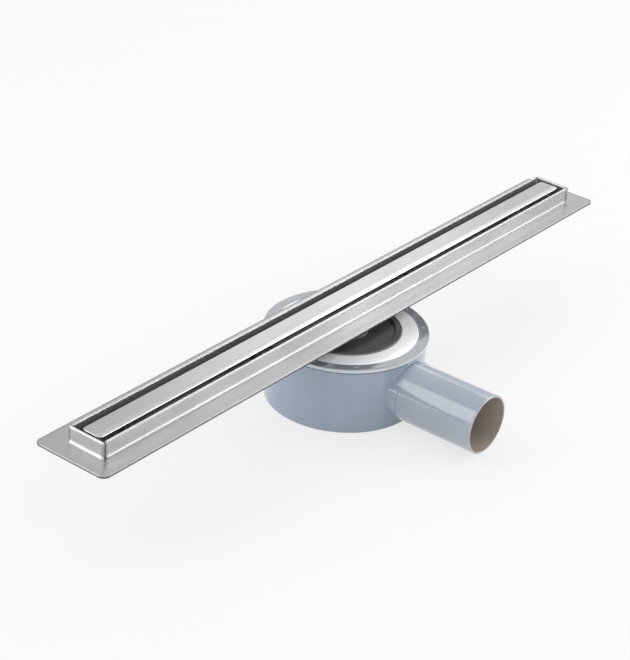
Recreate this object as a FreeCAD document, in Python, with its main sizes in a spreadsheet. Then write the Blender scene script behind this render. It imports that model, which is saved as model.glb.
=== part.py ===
import FreeCAD, Part
import math
import os

import Sketcher
from FreeCAD import Vector

# Linear shower channel on a low round trap. Millimetres, +Z up, +X along the channel.
# The origin is the centre of the trap's flat base and the outlet spigot points along -Y.

SIZES = [
    ("sheet_thick", 1.5, "stainless sheet of the frame, the trough and the cover supports"),
    ("flange_end", 17.5, "flange beyond the end upstands"),
    ("flange_side", 18, "flange beyond the long upstands"),
    ("flange_corner", 6, "radius of the flange's corners"),
    ("flange_level", 81, "top of the flange above the trap's base"),
    ("upstand_length", 605, "over the end upstands"),
    ("upstand_width", 34, "over the long upstands"),
    ("upstand_rise", 13.5, "upstands above the flange"),
    ("bend_inside", 2, "inside radius where flange turns into upstand"),
    ("sheet_edge", 0.5, "radius along the upstands' top edges"),
    ("corner_seam", 1.5, "open seam between the long upstands' ends and the end upstands"),
    ("trough_lip", 7.5, "lip that lies under the flange"),
    ("fold_inside", 1, "inside radius of the trough's folds"),
    ("outlet_floor", 67.5, "trough floor at the outlet"),
    ("end_floor", 70, "trough floor at both ends"),
    ("outlet_flat", 24, "half the length of the level floor round the outlet"),
    ("cover_width", 18.5, "cover strip, side to side"),
    ("cover_thick", 2, "cover strip"),
    ("cover_sunk", 1.4, "cover's face below the top of the upstands"),
    ("cover_end_gap", 3.5, "gap between the cover's ends and the end upstands"),
    ("cover_corner", 3, "radius of the cover's corners"),
    ("cover_edge", 0.3, "chamfer round the cover's face"),
    ("support_end", 52.5, "outer cover supports from the outside of the end upstands"),
    ("support_spacing", 150, "between the outer and the inner cover supports"),
    ("support_play", 0.4, "side play between a support and the upstands"),
    ("support_shoulder", 5.1, "shoulder of a support under the cover's underside"),
    ("support_tab", 10, "length of the tab welded under the cover"),
    ("support_tab_width", 16, "width of that tab"),
    ("foot_width", 5, "foot of a support"),
    ("arch_rise", 8, "water way under a support, above its feet"),
    ("cap_sole", 1.5, "rubber under a foot"),
    ("cap_height", 4.5, "rubber cap, sole included"),
    ("cap_length", 7, "rubber cap along the channel"),
    ("cap_play", 0.2, "play between cap and foot"),
    ("neck_outer", 15.2, "outside radius of the outlet neck"),
    ("neck_wall", 1.2, "wall of the outlet neck"),
    ("neck_bottom", 48, "lower end of the outlet neck"),
    ("neck_collar", 2, "width of the weld collar round the neck's top"),
    ("neck_ledge", 1.3, "inward ledge at the neck's lower end"),
    ("strainer_wall", 0.8, "hair strainer's sheet"),
    ("strainer_depth", 7.5, "strainer's cup below the trough floor"),
    ("strainer_rim", 3, "rim of the strainer beyond its cup"),
    ("strainer_play", 0.8, "between strainer and neck"),
    ("strainer_hole", 1.4, "radius of the holes in the strainer's bottom"),
    ("hole_ring_inner", 4.6, "inner ring of those holes"),
    ("hole_ring_outer", 9, "outer ring of those holes"),
    ("strainer_slot", 2, "width of the slots in the strainer's side"),
    ("dip_wall", 1.6, "wall of the dip tube"),
    ("dip_play", 0.3, "between dip tube and the neck's ledge, and between its rim and the neck"),
    ("dip_bottom", 12, "lower end of the dip tube"),
    ("dip_rim", 2, "thickness of the dip tube's rim"),
    ("dip_bar", 2.4, "width of the bar across the dip tube"),
    ("dip_seal", 1, "rubber ring under the dip tube's rim"),
    ("trap_base_radius", 65.5, "drum at its base"),
    ("trap_taper", 1.9, "drum wider at its mouth than at its base, all round"),
    ("trap_mouth", 57.6, "top of the drum, under the ring"),
    ("trap_wall", 2.6, "wall of the drum at its base"),
    ("trap_floor", 3, "floor of the drum above the base"),
    ("base_edge", 1.5, "radius at the foot of the drum"),
    ("foot_ring", 7, "width of the ring that the drum stands on"),
    ("foot_rise", 1, "recess of the base inside that ring"),
    ("centre_pad", 12, "radius of the pad left level with the ring in the middle"),
    ("mouth_wall", 3.1, "wall of the drum round the lid"),
    ("mouth_groove", 1.2, "height of the shadow groove under the ring"),
    ("mouth_groove_depth", 0.8, "depth of that groove"),
    ("lid_seat", 54.6, "ledge that carries the lid's gasket"),
    ("seat_width", 5.8, "width of that ledge"),
    ("seat_thick", 1.8, "thickness of that ledge at its inner edge"),
    ("pot_radius", 30, "inside radius of the water seal's pot"),
    ("pot_wall", 2.2, "wall of the pot"),
    ("pot_floor", 3, "floor of the pot"),
    ("pot_rim", 38, "overflow edge of the pot"),
    ("boss_radius", 12, "boss on the drum's floor that centres the pot"),
    ("boss_height", 1, "height of that boss"),
    ("boss_play", 0.3, "between the boss and the pot, sideways and above"),
    ("spigot_radius", 25, "outside radius of the DN50 outlet spigot"),
    ("spigot_wall", 1.8, "wall of the spigot"),
    ("spigot_axis", 30, "spigot's axis above the base"),
    ("spigot_reach", 144, "spigot's end from the trap's axis"),
    ("spigot_chamfer", 0.6, "chamfer at the spigot's end"),
    ("stub_length", 4.6, "stub that the spigot is welded to, beyond the drum's mouth"),
    ("stub_step", 0.4, "stub's outside beyond the spigot's, where a socket stops"),
    ("stub_root", 1.2, "radius where the stub leaves the drum"),
    ("gasket_thick", 1, "gasket under the lid"),
    ("lid_rim_thick", 1.6, "rim of the lid, held down by the ring"),
    ("lid_play", 0.3, "round the lid's rim and between lid and ring"),
    ("lid_top", 61.4, "face of the lid"),
    ("lid_plate", 2.2, "thickness of the lid's face"),
    ("lid_rim_width", 4.2, "rim of the lid beyond its face"),
    ("lid_skirt", 2.3, "wall between the lid's face and its rim"),
    ("lid_edge", 1.2, "radius round the lid's face"),
    ("lid_hole", 41.5, "radius of the hole for the rubber dish"),
    ("ring_top", 61, "face of the clamp ring"),
    ("ring_overhang", 1.1, "clamp ring beyond the drum's mouth"),
    ("ring_edge", 0.9, "radius round the clamp ring's face"),
    ("dimple_radius", 0.9, "dimples in the clamp ring's face"),
    ("dimple_depth", 0.5, "depth of those dimples"),
    ("dish_radius", 46, "outside radius of the rubber dish"),
    ("dish_bead", 1.2, "width and height of the bead round the dish"),
    ("dish_lip", 3.5, "how far the dish's lower lip grips under the lid"),
    ("dish_lip_thick", 1.8, "thickness of that lip at its edge"),
    ("dish_web", 2.3, "thickness of the dish"),
    ("dish_lip_top", 0.8, "thickness of the dish's upper lip on the lid"),
    ("dish_outer_drop", 2.2, "dish below its bead's top inside the lid's hole"),
    ("dish_inner_drop", 2.6, "dish below its bead's top beside the sleeve"),
    ("sleeve_wall", 2.4, "sleeve round the outlet neck"),
    ("sleeve_play", 0.2, "between rubber and what it sits on"),
    ("sleeve_top", 61.5, "upper end of the sleeve"),
    ("sleeve_bottom", 50.5, "lower end of the sleeve"),
]

DIMPLE_COUNT = 12
INNER_HOLE_COUNT = 6
OUTER_HOLE_COUNT = 12
SLOT_COUNT = 12


class Size:
    """A length as a number, together with the formula of named sizes that gives it."""

    def __init__(self, number, formula):
        self.number = number
        self.formula = formula

    def __add__(self, other):
        other = as_size(other)
        return Size(self.number + other.number, f"({self.formula} + {other.formula})")

    def __sub__(self, other):
        other = as_size(other)
        return Size(self.number - other.number, f"({self.formula} - {other.formula})")

    def __mul__(self, other):
        other = as_size(other)
        return Size(self.number * other.number, f"({self.formula} * {other.formula})")

    def __truediv__(self, other):
        other = as_size(other)
        return Size(self.number / other.number, f"({self.formula} / {other.formula})")

    def __neg__(self):
        return Size(-self.number, f"(0 - {self.formula})")


def as_size(value):
    if isinstance(value, Size):
        return value
    return Size(float(value), repr(float(value)))


class Sizes:
    """The named sizes of the sheet, each as a Size."""


def make_sheet(doc):
    sheet = doc.addObject("Spreadsheet::Sheet", "Sizes")
    sizes = Sizes()
    for row, (name, number, meaning) in enumerate(SIZES, start=1):
        sheet.set(f"A{row}", name)
        sheet.set(f"B{row}", str(number))
        sheet.set(f"C{row}", meaning)
        sheet.setAlias(f"B{row}", name)
        setattr(sizes, name, Size(float(number), f"Sizes.{name}"))
    doc.recompute()
    return sizes


def new_body(doc, label):
    body = doc.addObject("PartDesign::Body", label)
    body.Label = label
    return body


def origin_feature(body, role):
    for feature in body.Origin.OriginFeatures:
        if feature.Role == role:
            return feature
    raise ValueError(role)


def new_sketch(body, plane, offset=0):
    """A sketch on one of the body's own origin planes, moved along the plane's normal."""
    sketch = body.newObject("Sketcher::SketchObject", f"{body.Label}_sketch")
    sketch.AttachmentSupport = [(origin_feature(body, plane), "")]
    sketch.MapMode = "FlatFace"
    sketch.setExpression("AttachmentOffset.Base.z", as_size(offset).formula)
    return sketch


def bind(sketch, index, name, size):
    sketch.renameConstraint(index, name)
    sketch.setExpression(f"Constraints.{name}", size.formula)


def draw_loop(sketch, points):
    """A closed outline. A point is (across, up), or (across, up, radius) at a rounded corner."""
    first = sketch.GeometryCount
    count = len(points)
    corners = [(as_size(point[0]), as_size(point[1])) for point in points]
    for here, (across, up) in enumerate(corners):
        next_across, next_up = corners[(here + 1) % count]
        start = Vector(across.number, up.number, 0)
        end = Vector(next_across.number, next_up.number, 0)
        sketch.addGeometry(Part.LineSegment(start, end), False)
    for here in range(count):
        following = first + (here + 1) % count
        sketch.addConstraint(Sketcher.Constraint("Coincident", first + here, 2, following, 1))
    for here, (across, up) in enumerate(corners):
        line = first + here
        index = sketch.addConstraint(Sketcher.Constraint("DistanceX", line, 1, across.number))
        bind(sketch, index, f"across_{line}", across)
        index = sketch.addConstraint(Sketcher.Constraint("DistanceY", line, 1, up.number))
        bind(sketch, index, f"up_{line}", up)
    for here, point in enumerate(points):
        if len(point) < 3:
            continue
        radius = as_size(point[2])
        arc = sketch.GeometryCount
        sketch.fillet(first + here, 1, radius.number, True, True)
        index = sketch.addConstraint(Sketcher.Constraint("Radius", arc, radius.number))
        bind(sketch, index, f"radius_{arc}", radius)


def draw_circle(sketch, across, up, radius):
    across, up, radius = as_size(across), as_size(up), as_size(radius)
    circle = sketch.GeometryCount
    centre = Vector(across.number, up.number, 0)
    sketch.addGeometry(Part.Circle(centre, Vector(0, 0, 1), radius.number), False)
    index = sketch.addConstraint(Sketcher.Constraint("DistanceX", circle, 3, across.number))
    bind(sketch, index, f"across_{circle}", across)
    index = sketch.addConstraint(Sketcher.Constraint("DistanceY", circle, 3, up.number))
    bind(sketch, index, f"up_{circle}", up)
    index = sketch.addConstraint(Sketcher.Constraint("Radius", circle, radius.number))
    bind(sketch, index, f"radius_{circle}", radius)


def rectangle(half_across, half_up, radius=None):
    """The corners of a rectangle about the sketch's origin, for draw_loop."""
    corners = [(-half_across, -half_up), (half_across, -half_up)]
    corners += [(half_across, half_up), (-half_across, half_up)]
    if radius is None:
        return corners
    return [corner + (radius,) for corner in corners]


def extrude(body, kind, sketch, length, symmetric=False, reverse=False):
    """Pad or Pocket of a sketch."""
    feature = body.newObject(f"PartDesign::{kind}", f"{body.Label}_{kind}")
    feature.Profile = (sketch, [""])
    feature.Type = "Length"
    feature.setExpression("Length", as_size(length).formula)
    feature.SideType = "Symmetric" if symmetric else "One side"
    feature.Reversed = reverse
    body.Document.recompute()
    return feature


def turn(body, kind, sketch):
    """Revolution or Groove of a sketch, all the way round the vertical axis."""
    feature = body.newObject(f"PartDesign::{kind}", f"{body.Label}_{kind}")
    feature.Profile = (sketch, [""])
    feature.ReferenceAxis = (origin_feature(body, "Z_Axis"), [""])
    feature.Angle = 360
    body.Document.recompute()
    return feature


def turned_body(doc, label, points):
    """A piece turned from one half section, given as (radius, height) points."""
    body = new_body(doc, label)
    sketch = new_sketch(body, "XZ_Plane")
    draw_loop(sketch, points)
    turn(body, "Revolution", sketch)
    return body


def mirror(body, feature, plane):
    copy = body.newObject("PartDesign::Mirrored", f"{body.Label}_mirror")
    copy.Originals = [feature]
    copy.MirrorPlane = (origin_feature(body, plane), [""])
    body.Tip = copy
    body.Document.recompute()
    return copy


def repeat_round(body, feature, count):
    pattern = body.newObject("PartDesign::PolarPattern", f"{body.Label}_pattern")
    pattern.Originals = [feature]
    pattern.Axis = (origin_feature(body, "Z_Axis"), [""])
    pattern.Angle = 360
    pattern.Occurrences = count
    body.Tip = pattern
    body.Document.recompute()
    return pattern


def edges_where(shape, test):
    """Names of the edges whose bounding box passes the test."""
    names = []
    for number, edge in enumerate(shape.Edges, start=1):
        if test(edge.BoundBox):
            names.append(f"Edge{number}")
    if not names:
        raise ValueError("no edge found")
    return names


def dress(body, kind, size, test):
    """Fillet or Chamfer of the chosen edges of the body's last feature."""
    base = body.Tip
    feature = body.newObject(f"PartDesign::{kind}", f"{body.Label}_{kind}")
    feature.Base = (base, edges_where(base.Shape, test))
    dimension = "Radius" if kind == "Fillet" else "Size"
    feature.setExpression(dimension, size.formula)
    body.Document.recompute()
    return feature


def close_to(value, size, slack=0.01):
    return abs(value - size.number) < slack


def build_flange_frame(doc, s):
    """One sheet: a flat frame with four upstands bent up. The end upstands cover the ends of
    the long ones, with an open seam between them."""
    body = new_body(doc, "flange_frame")
    half_length = s.upstand_length / 2
    half_width = s.upstand_width / 2
    underside = s.flange_level - s.sheet_thick
    tab_end_x = half_length - s.sheet_thick - s.corner_seam
    tab_end_y = half_width
    bend_x = half_length + s.bend_inside
    bend_y = half_width + s.bend_inside
    plate = new_sketch(body, "XY_Plane", underside)
    flange = rectangle(half_length + s.flange_end, half_width + s.flange_side, s.flange_corner)
    draw_loop(plate, flange)
    window = [(-tab_end_x, -bend_y), (tab_end_x, -bend_y), (tab_end_x, -tab_end_y)]
    window += [(bend_x, -tab_end_y), (bend_x, tab_end_y), (tab_end_x, tab_end_y)]
    window += [(tab_end_x, bend_y), (-tab_end_x, bend_y), (-tab_end_x, tab_end_y)]
    window += [(-bend_x, tab_end_y), (-bend_x, -tab_end_y), (-tab_end_x, -tab_end_y)]
    draw_loop(plate, window)
    extrude(body, "Pad", plate, s.sheet_thick)
    for outside, bend, plane, length, mirror_plane in (
        (half_width, bend_y, "YZ_Plane", tab_end_x, "XZ_Plane"),
        (half_length, bend_x, "XZ_Plane", tab_end_y, "YZ_Plane"),
    ):
        section = new_sketch(body, plane)
        draw_loop(section, upstand_section(s, outside, bend, underside))
        upstand = extrude(body, "Pad", section, length * 2, symmetric=True)
        mirror(body, upstand, mirror_plane)
    return body


def upstand_section(s, outside, bend, underside):
    """Section of one upstand and its bend, on the negative side of the channel."""
    top = s.flange_level + s.upstand_rise
    inside = outside - s.sheet_thick
    outer_bend = s.bend_inside + s.sheet_thick
    root = bend + s.sheet_thick
    edge = s.sheet_edge
    section = [(-root, underside), (-inside, underside, outer_bend), (-inside, top, edge)]
    section += [(-outside, top, edge), (-outside, s.flange_level, s.bend_inside)]
    section.append((-root, s.flange_level))
    return section


def trough_half_width(s):
    return s.upstand_width / 2 + s.bend_inside


def trough_half_length(s):
    return s.upstand_length / 2 + s.bend_inside


def wall_section(s, floor, side):
    """Folded section of a trough wall: a lip under the flange and a wall down past the floor."""
    lip_top = s.flange_level - s.sheet_thick
    lip_under = lip_top - s.sheet_thick
    wall = trough_half_width(s)
    outer_wall = wall + s.sheet_thick
    lip_end = outer_wall + s.trough_lip
    bottom = floor - s.sheet_thick
    return [
        (wall * side, bottom),
        (wall * side, lip_top, s.fold_inside + s.sheet_thick),
        (lip_end * side, lip_top),
        (lip_end * side, lip_under),
        (outer_wall * side, lip_under, s.fold_inside),
        (outer_wall * side, bottom),
    ]


def build_trough_wall(doc, s, label, side):
    """Folded wall of the gutter, whose lower edge follows the falling floor."""
    body = new_body(doc, label)
    sections = []
    for place, floor in (
        (-trough_half_length(s), s.end_floor),
        (-s.outlet_flat, s.outlet_floor),
        (s.outlet_flat, s.outlet_floor),
        (trough_half_length(s), s.end_floor),
    ):
        section = new_sketch(body, "YZ_Plane", place)
        draw_loop(section, wall_section(s, floor, side))
        sections.append(section)
    loft = body.newObject("PartDesign::AdditiveLoft", f"{label}_Loft")
    loft.Profile = (sections[0], [""])
    loft.Sections = [(section, [""]) for section in sections[1:]]
    loft.Ruled = True
    doc.recompute()
    return body


def build_trough_floor(doc, s):
    """Floor welded between the walls: it falls from both ends to a level stretch at the outlet."""
    body = new_body(doc, "trough_floor")
    end = trough_half_length(s)
    end_under = s.end_floor - s.sheet_thick
    outlet_under = s.outlet_floor - s.sheet_thick
    bent = new_sketch(body, "XZ_Plane")
    draw_loop(bent, [
        (-end, s.end_floor),
        (-end, end_under),
        (-s.outlet_flat, outlet_under),
        (s.outlet_flat, outlet_under),
        (end, end_under),
        (end, s.end_floor),
        (s.outlet_flat, s.outlet_floor),
        (-s.outlet_flat, s.outlet_floor),
    ])
    extrude(body, "Pad", bent, trough_half_width(s) * 2, symmetric=True)
    hole = new_sketch(body, "XY_Plane", s.outlet_floor + s.sheet_thick)
    draw_circle(hole, 0, 0, s.neck_outer - s.neck_wall)
    extrude(body, "Pocket", hole, s.sheet_thick * 3)
    return body


def build_trough_end(doc, s, label, side):
    """End plate of the trough, with a lip folded outwards under the flange."""
    body = new_body(doc, label)
    lip_top = s.flange_level - s.sheet_thick
    lip_under = lip_top - s.sheet_thick
    bottom = s.end_floor - s.sheet_thick
    inner = trough_half_length(s)
    outer = inner + s.sheet_thick
    lip_end = outer + s.trough_lip
    half_width = trough_half_width(s) + s.sheet_thick
    outline = [(inner * side, bottom), (inner * side, lip_top, s.fold_inside + s.sheet_thick)]
    outline += [(lip_end * side, lip_top), (lip_end * side, lip_under)]
    outline += [(outer * side, lip_under, s.fold_inside), (outer * side, bottom)]
    section = new_sketch(body, "XZ_Plane")
    draw_loop(section, outline)
    extrude(body, "Pad", section, half_width * 2, symmetric=True)
    return body


def build_outlet_neck(doc, s):
    """Tube welded under the trough, with a collar above and an inward ledge below."""
    outer = s.neck_outer
    inner = outer - s.neck_wall
    ledge = inner - s.neck_ledge
    top = s.outlet_floor - s.sheet_thick
    collar = outer + s.neck_collar
    under_collar = top - s.neck_wall
    ledge_top = s.neck_bottom + s.neck_wall
    return turned_body(doc, "outlet_neck", [
        (inner, top),
        (inner, ledge_top),
        (ledge, ledge_top),
        (ledge, s.neck_bottom),
        (outer, s.neck_bottom, s.neck_wall * 0.8),
        (outer, under_collar),
        (collar, under_collar),
        (collar, top),
    ])


def build_cover_plate(doc, s):
    """Flat strip with rounded corners that hides the trough."""
    body = new_body(doc, "cover_plate")
    face = cover_underside(s) + s.cover_thick
    half_length = s.upstand_length / 2 - s.sheet_thick - s.cover_end_gap
    outline = new_sketch(body, "XY_Plane", cover_underside(s))
    draw_loop(outline, rectangle(half_length, s.cover_width / 2, s.cover_corner))
    extrude(body, "Pad", outline, s.cover_thick)
    dress(body, "Chamfer", s.cover_edge, lambda box: close_to(box.ZMin, face))
    return body


def cover_underside(s):
    return s.flange_level + s.upstand_rise - s.cover_sunk - s.cover_thick


def floor_at(s, distance):
    """Height of the trough floor at a distance from the middle, on its sloping part."""
    fall = (s.end_floor - s.outlet_floor) / (trough_half_length(s) - s.outlet_flat)
    return s.outlet_floor + fall * (distance - s.outlet_flat)


def cap_bottom(s, distance):
    """Underside of the rubber caps: level, and resting on the higher side of the slope."""
    return floor_at(s, distance + s.cap_length / 2)


def support_half_width(s):
    return s.upstand_width / 2 - s.sheet_thick - s.support_play


def build_cover_support(doc, s, label, distance, side):
    """Cross web under the cover: two feet, an arch for the water and a tab folded over."""
    body = new_body(doc, label)
    top = cover_underside(s)
    foot = cap_bottom(s, distance) + s.cap_sole
    shoulder = top - s.support_shoulder
    half = support_half_width(s)
    foot_inside = half - s.foot_width
    half_tab = s.support_tab_width / 2
    arch_top = foot + s.arch_rise
    bend = s.fold_inside
    web_near = distance - s.sheet_thick / 2
    web_far = distance + s.sheet_thick / 2
    tab_end = web_near + s.support_tab
    web = new_sketch(body, "YZ_Plane", distance * side)
    outline = [(-half, foot), (-foot_inside, foot), (-foot_inside, arch_top, s.foot_width / 2)]
    outline += [(foot_inside, arch_top, s.foot_width / 2), (foot_inside, foot), (half, foot)]
    outline += [(half, shoulder, s.fold_inside), (half_tab, shoulder, s.fold_inside)]
    outline += [(half_tab, top - bend - s.sheet_thick), (-half_tab, top - bend - s.sheet_thick)]
    outline += [(-half_tab, shoulder, s.fold_inside), (-half, shoulder, s.fold_inside)]
    draw_loop(web, outline)
    extrude(body, "Pad", web, s.sheet_thick, symmetric=True)
    fold = new_sketch(body, "XZ_Plane")
    low = top - bend - s.sheet_thick
    draw_loop(fold, [
        (web_near * side, low),
        (web_far * side, low),
        (web_far * side, top - s.sheet_thick, bend),
        (tab_end * side, top - s.sheet_thick),
        (tab_end * side, top),
        (web_near * side, top, bend + s.sheet_thick * 0.9),
    ])
    extrude(body, "Pad", fold, s.support_tab_width, symmetric=True)
    return body


def build_support_caps(doc, s, label, distance, side):
    """Two rubber caps, each a small block with a groove that the support's foot stands in."""
    bottom = cap_bottom(s, distance)
    half = support_half_width(s)
    width = s.foot_width + s.cap_play
    groove_width = s.sheet_thick + s.cap_play
    block = new_box(doc, f"{label}_block", s.cap_length, width, s.cap_height, (
        distance * side - s.cap_length / 2, half - width, bottom))
    groove = new_box(doc, f"{label}_groove", groove_width, width * 3, s.cap_height, (
        distance * side - groove_width / 2, half - width * 2, bottom + s.cap_sole))
    cap = doc.addObject("Part::Cut", f"{label}_cap")
    cap.Base = block
    cap.Tool = groove
    other = doc.addObject("Part::Mirroring", f"{label}_other")
    other.Source = cap
    other.Normal = Vector(0, 1, 0)
    pair = doc.addObject("Part::Compound", label)
    pair.Links = [cap, other]
    pair.Label = label
    doc.recompute()
    return pair


def new_box(doc, name, length, width, height, corner):
    box = doc.addObject("Part::Box", name)
    box.setExpression("Length", length.formula)
    box.setExpression("Width", width.formula)
    box.setExpression("Height", height.formula)
    for axis, place in zip("xyz", corner):
        box.setExpression(f"Placement.Base.{axis}", place.formula)
    return box


def build_hair_strainer(doc, s):
    """Perforated cup that hangs in the outlet by its rim."""
    cup = s.neck_outer - s.neck_wall - s.strainer_play
    inside = cup - s.strainer_wall
    rim = cup + s.strainer_rim
    rim_top = s.outlet_floor + s.strainer_wall
    bottom = s.outlet_floor - s.strainer_depth
    floor = bottom + s.strainer_wall
    body = turned_body(doc, "hair_strainer", [
        (0, bottom),
        (cup, bottom, s.strainer_wall * 2),
        (cup, s.outlet_floor),
        (rim, s.outlet_floor),
        (rim, rim_top),
        (inside, rim_top, s.strainer_wall),
        (inside, floor, s.strainer_wall),
        (0, floor),
    ])
    for ring, count in (
        (as_size(0), 1),
        (s.hole_ring_inner, INNER_HOLE_COUNT),
        (s.hole_ring_outer, OUTER_HOLE_COUNT),
    ):
        hole = new_sketch(body, "XY_Plane", floor + s.strainer_wall)
        draw_circle(hole, ring, 0, s.strainer_hole)
        cut = extrude(body, "Pocket", hole, s.strainer_wall * 3)
        if count > 1:
            repeat_round(body, cut, count)
    slot = new_sketch(body, "YZ_Plane")
    half_slot = s.strainer_slot / 2
    low = floor + s.strainer_wall * 2
    high = s.outlet_floor - s.strainer_wall * 1.5
    draw_loop(slot, [(-half_slot, low), (half_slot, low), (half_slot, high), (-half_slot, high)])
    cut = extrude(body, "Pocket", slot, cup + s.strainer_wall, reverse=True)
    repeat_round(body, cut, SLOT_COUNT)
    return body


def dip_tube_outer(s):
    return s.neck_outer - s.neck_wall - s.neck_ledge - s.dip_play


def build_dip_tube(doc, s):
    """Tube that hangs in the neck and dips into the pot, with a bar to pull it out by."""
    outer = dip_tube_outer(s)
    inner = outer - s.dip_wall
    rim = s.neck_outer - s.neck_wall - s.dip_play
    rim_under = s.neck_bottom + s.neck_wall + s.dip_seal
    rim_top = rim_under + s.dip_rim
    body = turned_body(doc, "dip_tube", [
        (inner, s.dip_bottom),
        (outer, s.dip_bottom),
        (outer, rim_under),
        (rim, rim_under),
        (rim, rim_top),
        (inner, rim_top, s.dip_wall / 2),
    ])
    bar = new_sketch(body, "YZ_Plane")
    half_bar = s.dip_bar / 2
    low = rim_top - s.dip_wall - s.dip_bar * 1.5
    high = rim_top - s.dip_wall
    draw_loop(bar, [(-half_bar, low), (half_bar, low), (half_bar, high), (-half_bar, high)])
    extrude(body, "Pad", bar, (inner + s.dip_wall / 2) * 2, symmetric=True)
    return body


def build_dip_tube_seal(doc, s):
    """Flat rubber ring between the neck's ledge and the dip tube's rim."""
    ledge_top = s.neck_bottom + s.neck_wall
    inner = dip_tube_outer(s) + s.dip_play
    outer = s.neck_outer - s.neck_wall - s.dip_play
    return turned_body(doc, "dip_tube_seal", [
        (inner, ledge_top),
        (outer, ledge_top),
        (outer, ledge_top + s.dip_seal),
        (inner, ledge_top + s.dip_seal),
    ])


def build_seal_collar(doc, s):
    """Rubber dish that grips the lid's hole and the outlet neck."""
    groove = s.lid_hole - s.sleeve_play
    lid_under = s.lid_top - s.lid_plate
    bead_top = s.lid_top + s.dish_bead
    bead_inside = s.dish_radius - s.dish_bead
    dish_outer = bead_top - s.dish_outer_drop
    dish_inner = bead_top - s.dish_inner_drop
    sleeve_inside = s.neck_outer + s.sleeve_play
    sleeve_outside = sleeve_inside + s.sleeve_wall
    lip_under = lid_under - s.dish_lip_thick
    return turned_body(doc, "seal_collar", [
        (sleeve_inside, s.sleeve_bottom),
        (sleeve_outside, s.sleeve_bottom),
        (sleeve_outside, dish_inner - s.dish_web, s.sleeve_wall / 2),
        (groove - s.dish_web, lip_under),
        (groove + s.dish_lip, lip_under),
        (groove + s.dish_lip, lid_under),
        (groove, lid_under),
        (groove, s.lid_top),
        (s.dish_radius, s.lid_top),
        (s.dish_radius, bead_top, s.dish_bead * 0.4),
        (bead_inside, bead_top, s.dish_bead * 0.4),
        (bead_inside, s.lid_top + s.dish_lip_top),
        (groove, s.lid_top + s.dish_lip_top, s.dish_bead),
        (groove - s.dish_web, dish_outer, s.dish_bead),
        (sleeve_outside, dish_inner, s.sleeve_wall / 4),
        (sleeve_outside, s.sleeve_top, s.sleeve_wall / 4),
        (sleeve_inside, s.sleeve_top),
    ])


def lid_rim_under(s):
    return s.lid_seat + s.gasket_thick


def drum_radius(s):
    """Outside of the drum at its mouth."""
    return s.trap_base_radius + s.trap_taper


def mouth_radius(s):
    """Inside of the drum's wall round the lid."""
    return drum_radius(s) - s.mouth_wall


def lid_radius(s):
    """Outside of the lid's raised face."""
    return mouth_radius(s) - s.lid_play - s.lid_rim_width


def build_trap_lid(doc, s):
    """White lid: a raised face round the rubber dish and a rim held down by the ring."""
    rim_under = lid_rim_under(s)
    rim_top = rim_under + s.lid_rim_thick
    rim_radius = mouth_radius(s) - s.lid_play
    face = lid_radius(s)
    skirt = face - s.lid_skirt
    face_under = s.lid_top - s.lid_plate
    return turned_body(doc, "trap_lid", [
        (s.lid_hole, face_under),
        (skirt, face_under, s.lid_edge),
        (skirt, rim_under),
        (rim_radius, rim_under),
        (rim_radius, rim_top),
        (face, rim_top),
        (face, s.lid_top, s.lid_edge),
        (s.lid_hole, s.lid_top, s.lid_edge / 3),
    ])


def build_lid_gasket(doc, s):
    """Flat ring between the drum's ledge and the lid's rim."""
    outer = mouth_radius(s) - s.lid_play
    inner = mouth_radius(s) - s.seat_width + s.lid_play
    top = s.lid_seat + s.gasket_thick
    return turned_body(doc, "lid_gasket", [
        (inner, s.lid_seat),
        (outer, s.lid_seat),
        (outer, top),
        (inner, top),
    ])


def build_clamp_ring(doc, s):
    """Grey ring on the drum's mouth, with a step that presses on the lid's rim."""
    inner = lid_radius(s) + s.lid_play
    outer = drum_radius(s) + s.ring_overhang
    step = mouth_radius(s) - s.lid_play
    step_under = lid_rim_under(s) + s.lid_rim_thick
    body = turned_body(doc, "clamp_ring", [
        (inner, step_under),
        (step, step_under),
        (step, s.trap_mouth),
        (outer, s.trap_mouth, s.ring_edge / 3),
        (outer, s.ring_top, s.ring_edge),
        (inner, s.ring_top, s.ring_edge / 2),
    ])
    dimple = new_sketch(body, "XY_Plane", s.ring_top)
    middle = (inner + outer) / 2
    half_step = math.pi / DIMPLE_COUNT
    draw_circle(dimple, middle * math.cos(half_step), middle * math.sin(half_step), s.dimple_radius)
    cut = extrude(body, "Pocket", dimple, s.dimple_depth)
    repeat_round(body, cut, DIMPLE_COUNT)
    return body


def pot_outside(s):
    return s.pot_radius + s.pot_wall


def stub_end(s):
    """End of the stub from the trap's axis, where the spigot's pipe begins."""
    return drum_radius(s) + s.stub_length


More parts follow.
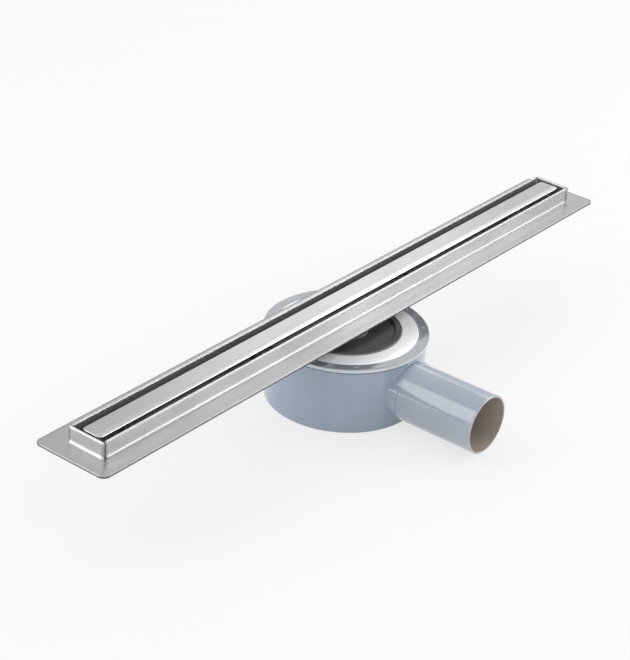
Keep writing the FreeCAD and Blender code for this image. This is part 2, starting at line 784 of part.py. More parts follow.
def build_trap_body(doc, s):
    """Moulded drum with a ledge for the lid, a boss for the pot and a stub for the spigot."""
    drum = drum_radius(s)
    groove = drum - s.mouth_groove_depth
    groove_under = s.trap_mouth - s.mouth_groove
    body = turned_body(doc, "trap_body", [
        (0, 0),
        (s.trap_base_radius, 0, s.base_edge),
        (drum, groove_under),
        (groove, groove_under),
        (groove, s.trap_mouth),
        (0, s.trap_mouth),
    ])
    stub_radius = s.spigot_radius + s.stub_step
    stub = new_sketch(body, "XZ_Plane")
    draw_circle(stub, 0, s.spigot_axis, stub_radius)
    extrude(body, "Pad", stub, stub_end(s))
    dress(body, "Fillet", s.stub_root, lambda box: (
        close_to(box.XMax - box.XMin, stub_radius * 2, 0.1)
        and box.YMax < 0
        and not close_to(box.YMin, -stub_end(s))
    ))
    cavity = new_sketch(body, "XZ_Plane")
    mouth = mouth_radius(s)
    seat = mouth - s.seat_width
    seat_under = s.lid_seat - s.seat_thick
    wall_foot = s.trap_base_radius - s.trap_wall
    boss_top = s.trap_floor + s.boss_height
    above = s.trap_mouth + s.mouth_wall
    draw_loop(cavity, [
        (0, boss_top),
        (s.boss_radius, boss_top),
        (s.boss_radius, s.trap_floor),
        (wall_foot, s.trap_floor, s.base_edge),
        (mouth, seat_under - s.seat_width),
        (seat, seat_under),
        (seat, s.lid_seat),
        (mouth, s.lid_seat),
        (mouth, above),
        (0, above),
    ])
    turn(body, "Groove", cavity)
    bore = new_sketch(body, "XZ_Plane", pot_outside(s))
    draw_circle(bore, 0, s.spigot_axis, s.spigot_radius - s.spigot_wall)
    extrude(body, "Pocket", bore, stub_end(s), reverse=True)
    recess = new_sketch(body, "XY_Plane", s.foot_rise)
    draw_circle(recess, 0, 0, s.trap_base_radius - s.foot_ring)
    draw_circle(recess, 0, 0, s.centre_pad)
    extrude(body, "Pocket", recess, s.foot_rise * 2)
    return body


def build_outlet_spigot(doc, s):
    """Plain DN50 pipe end, welded to the drum's stub."""
    body = new_body(doc, "outlet_spigot")
    pipe = new_sketch(body, "XZ_Plane", stub_end(s))
    draw_circle(pipe, 0, s.spigot_axis, s.spigot_radius)
    draw_circle(pipe, 0, s.spigot_axis, s.spigot_radius - s.spigot_wall)
    extrude(body, "Pad", pipe, s.spigot_reach - stub_end(s))
    dress(body, "Chamfer", s.spigot_chamfer, lambda box: (
        close_to(box.YMin, -s.spigot_reach) and close_to(box.XMax, s.spigot_radius)
    ))
    return body


def build_water_pot(doc, s):
    """Cup of the water seal, lifted out for cleaning; it stands over the boss of the drum."""
    recess = s.boss_radius + s.boss_play
    recess_top = s.trap_floor + s.boss_height + s.boss_play
    inside_floor = s.trap_floor + s.pot_floor
    return turned_body(doc, "water_pot", [
        (0, recess_top),
        (recess, recess_top),
        (recess, s.trap_floor),
        (pot_outside(s), s.trap_floor, s.pot_wall / 2),
        (pot_outside(s), s.pot_rim, s.pot_wall / 3),
        (s.pot_radius, s.pot_rim, s.pot_wall / 3),
        (s.pot_radius, inside_floor, s.pot_wall),
        (0, inside_floor),
    ])


def build_model(doc, s):
    pieces = [
        build_flange_frame(doc, s),
        build_trough_floor(doc, s),
        build_trough_wall(doc, s, "trough_wall_front", -1),
        build_trough_wall(doc, s, "trough_wall_back", 1),
        build_trough_end(doc, s, "trough_end_left", -1),
        build_trough_end(doc, s, "trough_end_right", 1),
        build_outlet_neck(doc, s),
        build_cover_plate(doc, s),
    ]
    outer = s.upstand_length / 2 - s.support_end
    inner = outer - s.support_spacing
    supports = [(outer, -1), (inner, -1), (inner, 1), (outer, 1)]
    for number, (distance, side) in enumerate(supports, start=1):
        pieces.append(build_cover_support(doc, s, f"cover_support_{number}", distance, side))
        pieces.append(build_support_caps(doc, s, f"support_caps_{number}", distance, side))
    pieces += [
        build_hair_strainer(doc, s),
        build_dip_tube(doc, s),
        build_dip_tube_seal(doc, s),
        build_seal_collar(doc, s),
        build_trap_lid(doc, s),
        build_lid_gasket(doc, s),
        build_clamp_ring(doc, s),
        build_trap_body(doc, s),
        build_outlet_spigot(doc, s),
        build_water_pot(doc, s),
    ]
    return pieces


def check(doc, pieces):
    for thing in doc.Objects:
        if "Invalid" in thing.State or "Error" in thing.State:
            raise RuntimeError(f"{thing.Name}: {thing.State}")
    for piece in pieces:
        if piece.Shape.isNull() or not piece.Shape.isValid():
            raise RuntimeError(f"{piece.Label}: bad shape")


def main():
    doc = FreeCAD.newDocument("shower_drain")
    sizes = make_sheet(doc)
    pieces = build_model(doc, sizes)
    doc.recompute()
    check(doc, pieces)
    os.makedirs("parts", exist_ok=True)
    for piece in pieces:
        piece.Shape.exportStep(f"parts/{piece.Label}.step")
        box = piece.Shape.BoundBox
        print(f"{piece.Label}: {len(piece.Shape.Solids)} solid(s), {piece.Shape.Volume:.1f} mm3, "
              f"x {box.XMin:.2f} {box.XMax:.2f}, y {box.YMin:.2f} {box.YMax:.2f}, "
              f"z {box.ZMin:.2f} {box.ZMax:.2f}")


main()
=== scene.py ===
import math

import bpy
import numpy as np
from mathutils import Matrix, Vector


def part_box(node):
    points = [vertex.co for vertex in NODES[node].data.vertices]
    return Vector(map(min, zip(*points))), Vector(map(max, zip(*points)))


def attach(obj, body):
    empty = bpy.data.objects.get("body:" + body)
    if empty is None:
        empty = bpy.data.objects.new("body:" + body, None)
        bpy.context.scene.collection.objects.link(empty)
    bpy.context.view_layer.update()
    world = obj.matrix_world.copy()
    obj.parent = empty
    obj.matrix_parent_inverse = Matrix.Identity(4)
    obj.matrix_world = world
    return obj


bl_info = {
    "name": "Linear shower drain",
    "version": (1, 0, 0),
    "blender": (4, 5, 0),
    "location": "3D View > Sidebar > Shower drain",
    "description": "Finishes and photographs a linear shower channel on its low round trap",
    "category": "Object",
}

MM = 0.001

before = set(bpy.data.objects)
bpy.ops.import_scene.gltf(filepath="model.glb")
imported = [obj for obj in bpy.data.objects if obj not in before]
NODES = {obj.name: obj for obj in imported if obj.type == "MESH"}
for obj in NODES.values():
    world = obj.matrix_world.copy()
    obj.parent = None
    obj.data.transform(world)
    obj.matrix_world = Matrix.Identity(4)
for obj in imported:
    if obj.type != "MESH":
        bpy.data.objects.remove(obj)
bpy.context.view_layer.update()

GUTTER = ["trough_floor", "trough_wall_front", "trough_wall_back"]
GUTTER += ["trough_end_left", "trough_end_right"]
SUPPORTS = [f"cover_support_{number}" for number in range(1, 5)]
CAPS = [f"support_caps_{number}" for number in range(1, 5)]


def node_span(name, axis):
    """Lowest and highest place of a CAD node along x, y or z (0, 1 or 2), in metres."""
    low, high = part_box(name)
    return low[axis], high[axis]


GUTTER_UNDER = node_span("trough_floor", 2)[0]
COLLAR_RADIUS = node_span("outlet_neck", 0)[1]
OUTLINE_BORDER = 8 * MM
COS_12_DEGREES = 0.977
COS_4_DEGREES = 0.997


class SteelSettings(bpy.types.PropertyGroup):
    """Colours and grain of the stainless sheet."""

    flange_colour: bpy.props.StringProperty(
        name="Flange", description="Brushed flange and upstands, sRGB hex", default="#B1B1B2"
    )
    cover_colour: bpy.props.StringProperty(
        name="Cover", description="Brushed cover strip, sRGB hex", default="#B8B8B9"
    )
    # Painted shade: the colour that darkens the flange's upright outer edges for the shadow line along
    # them.
    outline_shade_colour: bpy.props.StringProperty(
        name="Shaded outline", description="Flange's outer edges, sRGB hex", default="#707173"
    )
    # Painted highlight: the paler colour given to edges and folds for the light they catch.
    edge_highlight_colour: bpy.props.StringProperty(
        name="Edge highlights", description="Painted highlight on edges and folds, sRGB hex",
        default="#CFCFD0"
    )
    mill_colour: bpy.props.StringProperty(
        name="Gutter", description="Mill finish of the gutter below, sRGB hex", default="#C4C6C8"
    )
    grain_width: bpy.props.FloatProperty(
        name="Grain width", description="Spacing of the brushed lines",
        default=0.7 * MM, min=0.1 * MM, max=5 * MM, precision=5, unit="LENGTH", subtype="DISTANCE"
    )
    grain_length: bpy.props.FloatProperty(
        name="Grain length", description="Length of the brushed lines",
        default=45 * MM, min=1 * MM, max=300 * MM, precision=4, unit="LENGTH", subtype="DISTANCE"
    )
    roughness: bpy.props.FloatProperty(
        name="Roughness", description="Mean roughness of the brushed sheet",
        default=0.3, min=0.05, max=0.9, subtype="FACTOR"
    )


class PlasticSettings(bpy.types.PropertyGroup):
    """Colours of the moulded trap and its rubber."""

    drum_colour: bpy.props.StringProperty(
        name="Drum", description="Glossy blue-grey polypropylene, sRGB hex", default="#98A3B4"
    )
    ring_colour: bpy.props.StringProperty(
        name="Clamp ring", description="Grey moulded ring, sRGB hex", default="#787D82"
    )
    # Painted highlight: the paler colour of the ring's edges and upright wall, for the light they
    # catch.
    ring_highlight_colour: bpy.props.StringProperty(
        name="Ring highlights", description="Painted highlight on the ring's edges and wall, sRGB hex", default="#CDD3D9"
    )
    lid_colour: bpy.props.StringProperty(
        name="Lid", description="White moulded lid, sRGB hex", default="#F6F8F9"
    )
    pipe_colour: bpy.props.StringProperty(
        name="Spigot", description="Outer layer of the spigot's pipe, sRGB hex", default="#9AA2AE"
    )
    bore_colour: bpy.props.StringProperty(
        name="Bore", description="Inner layer of the spigot's pipe, sRGB hex", default="#AFA59C"
    )
    tube_colour: bpy.props.StringProperty(
        name="Dip tube", description="Pale moulded tube, sRGB hex", default="#D0D3D5"
    )
    rubber_colour: bpy.props.StringProperty(
        name="Rubber", description="Moulded rubber, sRGB hex", default="#505053"
    )
    # Painted highlight: the paler grey given to the rubber's beads and edges.
    bead_highlight_colour: bpy.props.StringProperty(
        name="Rubber beads", description="Painted highlight on the rubber's edges, sRGB hex", default="#8C8C8F"
    )


class StageSettings(bpy.types.PropertyGroup):
    """Floor, camera and lamps."""

    floor_colour: bpy.props.StringProperty(
        name="Floor", description="Pale floor, sRGB hex", default="#F4F4F4"
    )
    surround: bpy.props.FloatProperty(
        name="Surround", description="Strength of the white surround", default=0.88, min=0, max=2
    )
    floor_lift: bpy.props.FloatProperty(
        name="Floor lift", description="Share of plain white in what the camera sees of the floor",
        default=0.76, min=0, max=1, subtype="FACTOR"
    )
    lens: bpy.props.FloatProperty(
        name="Lens", description="Focal length over a 36 mm frame",
        default=111.24, min=10, max=300, unit="CAMERA"
    )
    heading: bpy.props.FloatProperty(
        name="Heading", description="Camera's heading, from +Y towards +X",
        default=math.radians(52.883), unit="ROTATION", subtype="ANGLE"
    )
    tilt: bpy.props.FloatProperty(
        name="Tilt", description="Camera's angle below the horizon",
        default=math.radians(29.018), unit="ROTATION", subtype="ANGLE"
    )
    roll: bpy.props.FloatProperty(
        name="Roll", description="Camera's roll about its own axis",
        default=math.radians(3.748), unit="ROTATION", subtype="ANGLE"
    )
    place: bpy.props.FloatVectorProperty(
        name="Camera", description="Camera's place in the row frame",
        default=(-1.18169, -0.86232, 0.86848), size=3, precision=5, unit="LENGTH",
        subtype="TRANSLATION"
    )


def linear(hex_colour):
    """sRGB hex as linear red, green, blue and alpha."""
    digits = hex_colour.lstrip("#")
    channels = np.array([int(digits[start:start + 2], 16) for start in (0, 2, 4)]) / 255
    low = channels / 12.92
    high = ((channels + 0.055) / 1.055) ** 2.4
    return (*np.where(channels <= 0.04045, low, high), 1.0)


def add_node(material, kind, settings=None, **links):
    """Adds a shader node, sets its properties and sockets, and links the sockets named."""
    tree = material.node_tree
    node = tree.nodes.new(kind)
    for name, value in (settings or {}).items():
        if name[0] == "_":
            node.inputs[int(name[1:])].default_value = value
        elif name in node.inputs:
            node.inputs[name].default_value = value
        else:
            setattr(node, name, value)
    for name, source in links.items():
        socket = node.inputs[int(name[1:])] if name[0] == "_" else node.inputs[name]
        tree.links.new(source, socket)
    return node


def new_material(name, settings):
    """An empty node material that ends in a Principled shader, with its constants set."""
    material = bpy.data.materials.new(name)
    material.use_nodes = True
    material.node_tree.nodes.clear()
    shader = add_node(material, "ShaderNodeBsdfPrincipled", settings)
    output = add_node(material, "ShaderNodeOutputMaterial")
    material.node_tree.links.new(shader.outputs["BSDF"], output.inputs["Surface"])
    return material, shader


def stretched_noise(material, spacing, detail=3.0, roughness=0.6):
    """Noise on Object coordinates whose features are spacing metres apart along x, y and z."""
    place = add_node(material, "ShaderNodeTexCoord")
    scale = tuple(1 / step for step in spacing)
    mapping = add_node(
        material, "ShaderNodeMapping", {"Scale": scale}, Vector=place.outputs["Object"]
    )
    return add_node(
        material, "ShaderNodeTexNoise",
        {"Scale": 1.0, "Detail": detail, "Roughness": roughness}, Vector=mapping.outputs["Vector"]
    )


def ranged(material, source, low, high, start=0.3, end=0.7):
    """The source between start and end, spread over low to high."""
    settings = {"From Min": start, "From Max": end, "To Min": low, "To Max": high}
    return add_node(material, "ShaderNodeMapRange", settings, Value=source).outputs["Result"]


def tinted(material, colour, spread, source):
    """The colour, darker and lighter by the spread as the source goes from 0 to 1."""
    dark = tuple(channel * (1 - spread) for channel in colour[:3]) + (1.0,)
    light = tuple(min(channel * (1 + spread), 1.0) for channel in colour[:3]) + (1.0,)
    mix = add_node(
        material, "ShaderNodeMix", {"data_type": "RGBA", "_6": dark, "_7": light}, Factor=source
    )
    return mix.outputs[2]


def recoloured(material, below, colour, where):
    """The colour below, given way to another, in sRGB hex, as the mask goes from 0 to 1."""
    mix = add_node(
        material, "ShaderNodeMix", {"data_type": "RGBA", "_7": linear(colour)},
        Factor=where, _6=below
    )
    return mix.outputs[2]


def brushed_stainless(name, colour, steel, roughness, edges, unbrushed=None):
    """Brushed 1.4301 sheet: long fine scratches along the channel, which stretch the highlights
    across them and give a soft satin streak, with a faint cloudiness over the sheet, a painted
    highlight on the edges and folds and a painted shade on the upright outer edges. Edges is a
    function of the material that gives the normal along them, and unbrushed one that marks
    what the brush left dull."""
    material, shader = new_material(name, {"Metallic": 1.0, "Anisotropic": 0.5})
    spacing = (steel.grain_length, steel.grain_width, steel.grain_width)
    grain = stretched_noise(material, spacing, detail=4.0, roughness=0.7)
    cloud = stretched_noise(material, (90 * MM, 60 * MM, 60 * MM), detail=2.0)
    streak = ranged(material, grain.outputs["Fac"], 0.0, 1.0)
    haze = ranged(material, cloud.outputs["Fac"], -0.03, 0.05)
    links = material.node_tree.links
    bent = edges(material)
    length, width, height = (node_span("flange_frame", axis)[1] for axis in range(3))
    inner = within(
        material, (length - OUTLINE_BORDER, width - OUTLINE_BORDER, height + OUTLINE_BORDER)
    )
    # Painted highlight: edges and folds where the shading normal bends get a paler colour for the
    # light they catch.
    edge_highlight = add_node(
        material, "ShaderNodeMath", {"operation": "MULTIPLY"},
        _0=painted_highlight_where(material, bent), _1=inner
    )
    # Painted shade: the flange's upright outer edges are darkened in colour for the shadow line along
    # them.
    outline_shade = add_node(
        material, "ShaderNodeMath", {"operation": "SUBTRACT"}, _0=upright(material), _1=inner
    )
    brushed = tinted(material, linear(colour), 0.02, streak)
    sheet = recoloured(material, brushed, steel.edge_highlight_colour, edge_highlight.outputs["Value"])
    skin = recoloured(material, sheet, steel.outline_shade_colour, outline_shade.outputs["Value"])
    links.new(skin, shader.inputs["Base Color"])
    scratches = add_node(material, "ShaderNodeCombineXYZ", {"X": 1.0, "Y": 0.03, "Z": 0.02})
    links.new(scratches.outputs["Vector"], shader.inputs["Tangent"])
    rough = ranged(material, grain.outputs["Fac"], roughness - 0.04, roughness + 0.04)
    total = add_node(
        material, "ShaderNodeMath", {"operation": "ADD"}, _0=rough, _1=haze
    )
    if unbrushed:
        total = add_node(
            material, "ShaderNodeMath", {"operation": "MULTIPLY_ADD", "_1": 0.4},
            _0=unbrushed(material), _2=total.outputs["Value"]
        )
    links.new(total.outputs["Value"], shader.inputs["Roughness"])
    bump = add_node(
        material, "ShaderNodeBump", {"Strength": 0.04, "Distance": 0.03 * MM},
        Height=grain.outputs["Fac"], Normal=bent
    )
    links.new(bump.outputs["Normal"], shader.inputs["Normal"])
    return material


def painted_highlight_where(material, bent):
    """One where the shading normal is bent more than some 12 degrees off the face's own, along
    the edges and folds that take a painted highlight, and nought where it isn't bent."""
    face = add_node(material, "ShaderNodeNewGeometry")
    likeness = add_node(
        material, "ShaderNodeVectorMath", {"operation": "DOT_PRODUCT"},
        _0=bent, _1=face.outputs["Normal"]
    )
    return ranged(material, likeness.outputs["Value"], 1.0, 0.0, COS_12_DEGREES, COS_4_DEGREES)


def upright(material):
    """One on faces that stand upright and nought on level ones, either way up."""
    face = add_node(material, "ShaderNodeNewGeometry")
    parts = add_node(material, "ShaderNodeSeparateXYZ", Vector=face.outputs["True Normal"])
    slope = add_node(
        material, "ShaderNodeMath", {"operation": "ABSOLUTE"}, _0=parts.outputs["Z"]
    )
    return ranged(material, slope.outputs["Value"], 1.0, 0.0, 0.2, 0.5)


def broken_edges(material, radius=3.0 * MM):
    """Edges and folds that aren't quite sharp, so that each one draws a line of light."""
    return add_node(material, "ShaderNodeBevel", {"samples": 6, "Radius": radius}).outputs["Normal"]


def rolled_edge(material):
    """The strip's edge towards the spigot, rolled down a little: over the roll's width the
    surface falls as the distance to the power 1.2, by the roll's mean angle in all."""
    half_width = node_span("cover_plate", 1)[1]
    width = 5.2 * MM
    angle = math.radians(9)
    place = add_node(material, "ShaderNodeTexCoord")
    across = add_node(material, "ShaderNodeSeparateXYZ", Vector=place.outputs["Object"])
    past = ranged(material, across.outputs["Y"], 0.0, 1.0, width - half_width, -half_width)
    curve = add_node(
        material, "ShaderNodeMath", {"operation": "POWER", "_1": 1.2}, _0=past
    )
    drop = add_node(
        material, "ShaderNodeMath", {"operation": "MULTIPLY", "_1": -width * math.tan(angle)},
        _0=curve.outputs["Value"]
    )
    roll = add_node(
        material, "ShaderNodeBump", {"Strength": 1.0, "Distance": 1.0}, Height=drop.outputs["Value"]
    )
    return roll.outputs["Normal"]


def within(material, limits):
    """One where the Object coordinates, without their signs, are all under the limits, and
    nought elsewhere."""
    place = add_node(material, "ShaderNodeTexCoord")
    size = add_node(
        material, "ShaderNodeVectorMath", {"operation": "ABSOLUTE"}, _0=place.outputs["Object"]
    )
    where = add_node(material, "ShaderNodeSeparateXYZ", Vector=size.outputs["Vector"])
    inside = None
    for reach, limit in zip(where.outputs, limits):
        under = add_node(
            material, "ShaderNodeMath", {"operation": "LESS_THAN", "_1": limit}, _0=reach
        ).outputs["Value"]
        inside = under if inside is None else add_node(
            material, "ShaderNodeMath", {"operation": "MULTIPLY"}, _0=inside, _1=under
        ).outputs["Value"]
    return inside


def slot_sides(material):
    """The sheet's faces inside the channel, below the brushed rim, which keep the mill's dull
    finish."""
    past_cover = 3.8 * MM
    past_support = 0.7 * MM
    brushed_rim = 2.2 * MM
    inner_length = node_span("cover_plate", 0)[1] + past_cover
    inner_width = node_span("cover_support_1", 1)[1] + past_support
    under_rim = node_span("flange_frame", 2)[1] - brushed_rim
    return within(material, (inner_length, inner_width, under_rim))


def mill_stainless(name, colour):
    """Cold-rolled 2B sheet: a dull even grey with soft clouds and faint rolling lines."""
    material, shader = new_material(name, {"Metallic": 1.0})
    cloud = stretched_noise(material, (30 * MM, 18 * MM, 18 * MM), detail=3.0)
    lines = stretched_noise(material, (60 * MM, 1.2 * MM, 1.2 * MM), detail=2.0)
    links = material.node_tree.links
    shade = ranged(material, cloud.outputs["Fac"], 0.0, 1.0)
    links.new(tinted(material, linear(colour), 0.08, shade), shader.inputs["Base Color"])
    rough = ranged(material, lines.outputs["Fac"], 0.36, 0.46)
    links.new(rough, shader.inputs["Roughness"])
    return material


def moulded_plastic(name, colour, roughness, spread=0.05):
    """Injection-moulded polypropylene: a smooth waxy gloss whose tone drifts a little in upright
    bands with the flow of the melt, with a very slight orange peel that softens reflections."""
    material, shader = new_material(name, {"IOR": 1.49, "Coat Weight": 0.7, "Coat Roughness": 0.06})
    flow = stretched_noise(material, (26 * MM, 26 * MM, 150 * MM), detail=2.0, roughness=0.5)
    peel = stretched_noise(material, (1.6 * MM, 1.6 * MM, 1.6 * MM), detail=2.0)
    links = material.node_tree.links
    shade = ranged(material, flow.outputs["Fac"], 0.0, 1.0)
    links.new(tinted(material, linear(colour), spread, shade), shader.inputs["Base Color"])
    rough = ranged(material, flow.outputs["Fac"], roughness - 0.03, roughness + 0.04)
    links.new(rough, shader.inputs["Roughness"])
    bump = add_node(
        material, "ShaderNodeBump", {"Strength": 0.15, "Distance": 0.02 * MM},
        Height=peel.outputs["Fac"]
    )
    links.new(bump.outputs["Normal"], shader.inputs["Normal"])
    return material


def clamped_ring(name, colour, highlight_colour, roughness):
    """Grey polypropylene with a painted highlight: paler on its upright wall and along the edges
    of its face, where it catches the light."""
    material = moulded_plastic(name, colour, roughness)
    nodes = material.node_tree.nodes
    links = material.node_tree.links
    shader = nodes["Principled BSDF"]
    bent = broken_edges(material, 0.8 * MM)
    # Painted highlight: the ring's upright wall and the edges of its face get a paler colour for the
    # light they catch.
    pale = add_node(
        material, "ShaderNodeMath", {"operation": "MAXIMUM"}, _0=painted_highlight_where(material, bent),
        _1=upright(material)
    )
    face_colour = shader.inputs["Base Color"].links[0].from_socket
    skin = recoloured(material, face_colour, highlight_colour, pale.outputs["Value"])
    links.new(skin, shader.inputs["Base Color"])
    links.new(bent, nodes["Bump"].inputs["Normal"])
    return material


def lined_pipe(name, colour, bore_colour, roughness):
    """Extruded polypropylene pipe: glossy outside, a little greyer than the drum, with a warm
    grey inner layer that begins within the wall, so that the cut end shows both."""
    material = moulded_plastic(name, colour, roughness)
    shader = material.node_tree.nodes["Principled BSDF"]
    low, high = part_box("outlet_spigot")
    radius = (high[0] - low[0]) / 2
    centre = (low[2] + high[2]) / 2
    place = add_node(material, "ShaderNodeTexCoord")
    from_axis = add_node(
        material, "ShaderNodeVectorMath", {"operation": "SUBTRACT", "_1": (0, 0, centre)},
        _0=place.outputs["Object"]
    )
    across = add_node(
        material, "ShaderNodeVectorMath", {"operation": "MULTIPLY", "_1": (1, 0, 1)},
        _0=from_axis.outputs["Vector"]
    )
    reach = add_node(
        material, "ShaderNodeVectorMath", {"operation": "LENGTH"}, _0=across.outputs["Vector"]
    )
    lining = ranged(
        material, reach.outputs["Value"], 1.0, 0.0, radius - 1.0 * MM, radius - 0.8 * MM
    )
    outer = shader.inputs["Base Color"].links[0].from_socket
    layers = recoloured(material, outer, bore_colour, lining)
    material.node_tree.links.new(layers, shader.inputs["Base Color"])
    return material


def moulded_rubber(name, colour, highlight_colour):
    """EPDM rubber: nearly black, with a dull sheen, a fine grain from the mould and a painted
    highlight that makes its beads and edges a little paler."""
    material, shader = new_material(name, {"IOR": 1.52, "Specular IOR Level": 0.5})
    grain = stretched_noise(material, (0.9 * MM, 0.9 * MM, 0.9 * MM), detail=3.0)
    bloom = stretched_noise(material, (14 * MM, 14 * MM, 14 * MM), detail=3.0)
    links = material.node_tree.links
    shade = ranged(material, bloom.outputs["Fac"], 0.0, 1.0)
    bent = broken_edges(material, 0.7 * MM)
    black = tinted(material, linear(colour), 0.15, shade)
    # Painted highlight: beads and edges of the rubber get a paler grey.
    skin = recoloured(material, black, highlight_colour, painted_highlight_where(material, bent))
    links.new(skin, shader.inputs["Base Color"])
    rough = ranged(material, bloom.outputs["Fac"], 0.3, 0.42)
    links.new(rough, shader.inputs["Roughness"])
    bump = add_node(
        material, "ShaderNodeBump", {"Strength": 0.25, "Distance": 0.04 * MM},
        Height=grain.outputs["Fac"], Normal=bent
    )
    links.new(bump.outputs["Normal"], shader.inputs["Normal"])
    return material


def dress(names, material):
    """Gives every material slot of these CAD nodes the material."""
    for name in names:
        node = NODES[name]
        if not node.material_slots:
            node.data.materials.append(material)
        for slot in node.material_slots:
            slot.material = material


def grid_mesh(name, points, closed_across, closed_along):
    """A mesh of quads over a grid of points, rows by columns, joined round where closed."""
    rows, columns = points.shape[:2]
    last_row = rows if closed_along else rows - 1
    last_column = columns if closed_across else columns - 1
    row, column = np.meshgrid(np.arange(last_row), np.arange(last_column), indexing="ij")
    row, column = row.ravel(), column.ravel()
    next_row, next_column = (row + 1) % rows, (column + 1) % columns
    faces = np.stack([
        row * columns + column,
        next_row * columns + column,
        next_row * columns + next_column,
        row * columns + next_column,
    ], axis=1)
    mesh = bpy.data.meshes.new(name)
    mesh.from_pydata(points.reshape(-1, 3).tolist(), [], faces.tolist())
    mesh.polygons.foreach_set("use_smooth", np.ones(len(faces), dtype=bool))
    mesh.update()
    piece = bpy.data.objects.new(name, mesh)
    bpy.context.scene.collection.objects.link(piece)
    return piece


def ring_bead(name, radius, height, section, ripple):
    """A weld bead round the vertical axis: a torus whose section grows and shrinks a little
    as it goes round, by a sine with one swell for each drop of the weld."""
    drop_spacing = 1.6 * MM
    around = np.linspace(0, 2 * math.pi, 240, endpoint=False)[:, None]
    across = np.linspace(0, 2 * math.pi, 10, endpoint=False)[None, :]
    drops = round(2 * math.pi * radius / drop_spacing)
    thick = section * (1 + ripple * np.sin(drops * around))
    reach = radius + thick * np.cos(across)
    points = np.stack([
        reach * np.cos(around),
        reach * np.sin(around),
        height + thick * np.sin(across),
    ], axis=2)
    return grid_mesh(name, points, True, True)


class DRAIN_OT_steel(bpy.types.Operator):
    """Brushes the channel's frame and cover and gives the gutter its mill finish"""

    bl_idname = "drain.steel"
    bl_label = "Finish the stainless pieces"

    def execute(self, context):
        steel = context.scene.drain_steel
        frame_finish = brushed_stainless(
            "brushed_stainless_sheet", steel.flange_colour, steel, steel.roughness,
            broken_edges, slot_sides
        )
        cover_finish = brushed_stainless(
            "brushed_stainless_strip", steel.cover_colour, steel, steel.roughness - 0.04,
            rolled_edge
        )
        mill = mill_stainless("cold_rolled_stainless", steel.mill_colour)
        dress(["flange_frame"], frame_finish)
        dress(["cover_plate"], cover_finish)
        dress(GUTTER + SUPPORTS + ["outlet_neck", "hair_strainer"], mill)
        return {"FINISHED"}


class DRAIN_OT_plastic(bpy.types.Operator):
    """Gives the drum, ring, lid and dip tube their moulded plastics"""

    bl_idname = "drain.plastic"
    bl_label = "Finish the moulded pieces"

    def execute(self, context):
        plastic = context.scene.drain_plastic
        drum = moulded_plastic("blue_grey_polypropylene_gloss", plastic.drum_colour, 0.14)
        pipe = lined_pipe(
            "blue_grey_polypropylene_pipe", plastic.pipe_colour, plastic.bore_colour, 0.14
        )
        ring = clamped_ring(
            "grey_polypropylene_gloss", plastic.ring_colour, plastic.ring_highlight_colour, 0.16
        )
        lid = moulded_plastic("white_abs_gloss", plastic.lid_colour, 0.2, spread=0.015)
        tube = moulded_plastic("pale_polypropylene_satin", plastic.tube_colour, 0.3)
        dress(["trap_body", "water_pot"], drum)
        dress(["outlet_spigot"], pipe)
        dress(["clamp_ring"], ring)
        dress(["trap_lid"], lid)
        dress(["dip_tube"], tube)
        return {"FINISHED"}


class DRAIN_OT_rubber(bpy.types.Operator):
    """Gives the dish, the gaskets and the support caps their rubber"""

    bl_idname = "drain.rubber"
    bl_label = "Finish the rubber pieces"

    def execute(self, context):
        plastic = context.scene.drain_plastic
        rubber = moulded_rubber(
            "epdm_rubber_moulded", plastic.rubber_colour, plastic.bead_highlight_colour
        )
        dress(["seal_collar", "dip_tube_seal", "lid_gasket"] + CAPS, rubber)
        return {"FINISHED"}


class DRAIN_OT_welds(bpy.types.Operator):
    """Adds the weld bead where the outlet neck meets the gutter"""

    bl_idname = "drain.welds"
    bl_label = "Add the weld bead"

    def execute(self, context):
        steel = context.scene.drain_steel
        section = 0.45 * MM
        bead = ring_bead(
            "neck_weld", COLLAR_RADIUS, GUTTER_UNDER - section, section, ripple=0.18
        )
        bead.data.materials.append(mill_stainless("weld_bead_stainless", steel.mill_colour))
        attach(bead, "root")
        return {"FINISHED"}


def area_lamp(name, place, target, size, power):
    """A rectangular white softbox at a place, facing a target."""
    lamp = bpy.data.lights.new(name, "AREA")
    lamp.shape = "RECTANGLE"
    lamp.size, lamp.size_y = size
    lamp.energy = power
    holder = bpy.data.objects.new(name, lamp)
    direction = Vector(target) - Vector(place)
    turn = direction.to_track_quat("-Z", "Y").to_matrix().to_4x4()
    holder.matrix_world = Matrix.Translation(place) @ turn
    bpy.context.scene.collection.objects.link(holder)


def seen_rays(material):
    """One for the rays that show a surface as it is: camera, gloss and glass; else nought."""
    path = add_node(material, "ShaderNodeLightPath")
    seen = path.outputs["Is Camera Ray"]
    for kind in ("Is Glossy Ray", "Is Transmission Ray"):
        seen = add_node(
            material, "ShaderNodeMath", {"operation": "MAXIMUM"}, _0=seen, _1=path.outputs[kind]
        ).outputs["Value"]
    return seen


def studio_world(scene, strength):
    """An even white surround."""
    world = bpy.data.worlds.new("white_studio")
    world.use_nodes = True
    world.node_tree.nodes.clear()
    background = add_node(
        world, "ShaderNodeBackground", {"Color": (1.0, 1.0, 1.0, 1.0), "Strength": strength}
    )
    output = add_node(world, "ShaderNodeOutputWorld")
    world.node_tree.links.new(background.outputs["Background"], output.inputs["Surface"])
    scene.world = world


def floor_material(colour, lift):
    """Matt white paint: even and unpolished, mixed with plain white for the rays that show it,
    so that only a faint soft shadow is left under the object."""
    material, shader = new_material(
        "matt_white_floor_paint", {"Base Color": linear(colour), "Roughness": 0.9, "IOR": 1.3}
    )
    share = ranged(material, seen_rays(material), 0.0, lift, 0.0, 1.0)
    white = add_node(material, "ShaderNodeEmission", {"Strength": 0.94})
    blend = add_node(
        material, "ShaderNodeMixShader", Fac=share,
        _1=shader.outputs["BSDF"], _2=white.outputs["Emission"]
    )
    output = material.node_tree.nodes["Material Output"]
    material.node_tree.links.new(blend.outputs["Shader"], output.inputs["Surface"])
    return material


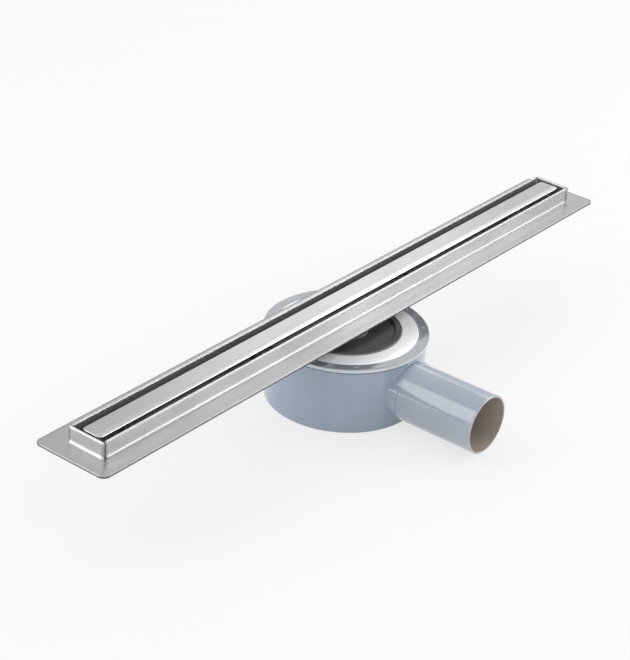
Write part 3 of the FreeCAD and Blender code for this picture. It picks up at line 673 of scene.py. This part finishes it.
class DRAIN_OT_stage(bpy.types.Operator):
    """Lays the floor and sets up the surround, the softboxes and the camera"""

    bl_idname = "drain.stage"
    bl_label = "Set the stage"

    def execute(self, context):
        scene = context.scene
        stage = scene.drain_stage
        reach = 6.0
        corners = np.array([
            [[-reach, -reach, 0], [-reach, reach, 0]],
            [[reach, -reach, 0], [reach, reach, 0]],
        ])
        floor = grid_mesh("floor", corners, False, False)
        floor.data.materials.append(floor_material(stage.floor_colour, stage.floor_lift))
        studio_world(scene, stage.surround)
        area_lamp("left_softbox", (-1.3, 0.85, 0.93), (0, 0, 0.05), (0.6, 1.7), 8)
        area_lamp("right_softbox", (1.1, 0.34, 1.1), (0, 0, 0.09), (0.5, 0.4), 1.4)
        area_lamp("back_softbox", (1.54, 1.16, 1.19), (0, 0, 0.09), (0.5, 0.4), 0.78)
        area_lamp("front_softbox", (1.05, -1.0, 0.88), (0, 0, 0.09), (1.0, 0.7), 8.4)
        camera_data = bpy.data.cameras.new("camera")
        camera_data.lens = stage.lens
        camera_data.sensor_width = 36
        camera_data.clip_end = 50
        camera = bpy.data.objects.new("camera", camera_data)
        turn = Matrix.Rotation(-stage.heading, 4, "Z")
        turn = turn @ Matrix.Rotation(math.pi / 2 - stage.tilt, 4, "X")
        turn = turn @ Matrix.Rotation(stage.roll, 4, "Z")
        camera.matrix_world = Matrix.Translation(stage.place) @ turn
        scene.collection.objects.link(camera)
        scene.camera = camera
        scene.view_settings.view_transform = "Standard"
        return {"FINISHED"}


class DRAIN_PT_panel(bpy.types.Panel):
    """Lists the settings and the steps that dress the drain"""

    bl_idname = "DRAIN_PT_panel"
    bl_label = "Shower drain"
    bl_space_type = "VIEW_3D"
    bl_region_type = "UI"
    bl_category = "Shower drain"

    def draw(self, context):
        layout = self.layout
        scene = context.scene
        for settings in (scene.drain_steel, scene.drain_plastic, scene.drain_stage):
            box = layout.box()
            for name in settings.__annotations__:
                box.prop(settings, name)
        for operator in OPERATORS:
            layout.operator(operator.bl_idname)


OPERATORS = (DRAIN_OT_steel, DRAIN_OT_plastic, DRAIN_OT_rubber, DRAIN_OT_welds, DRAIN_OT_stage)
CLASSES = (SteelSettings, PlasticSettings, StageSettings) + OPERATORS + (DRAIN_PT_panel,)


def register():
    for kind in CLASSES:
        bpy.utils.register_class(kind)
    bpy.types.Scene.drain_steel = bpy.props.PointerProperty(type=SteelSettings)
    bpy.types.Scene.drain_plastic = bpy.props.PointerProperty(type=PlasticSettings)
    bpy.types.Scene.drain_stage = bpy.props.PointerProperty(type=StageSettings)


def unregister():
    del bpy.types.Scene.drain_stage
    del bpy.types.Scene.drain_plastic
    del bpy.types.Scene.drain_steel
    for kind in reversed(CLASSES):
        bpy.utils.unregister_class(kind)


def main():
    register()
    bpy.ops.drain.steel()
    bpy.ops.drain.plastic()
    bpy.ops.drain.rubber()
    bpy.ops.drain.welds()
    bpy.ops.drain.stage()


if __name__ == "__main__":
    main()
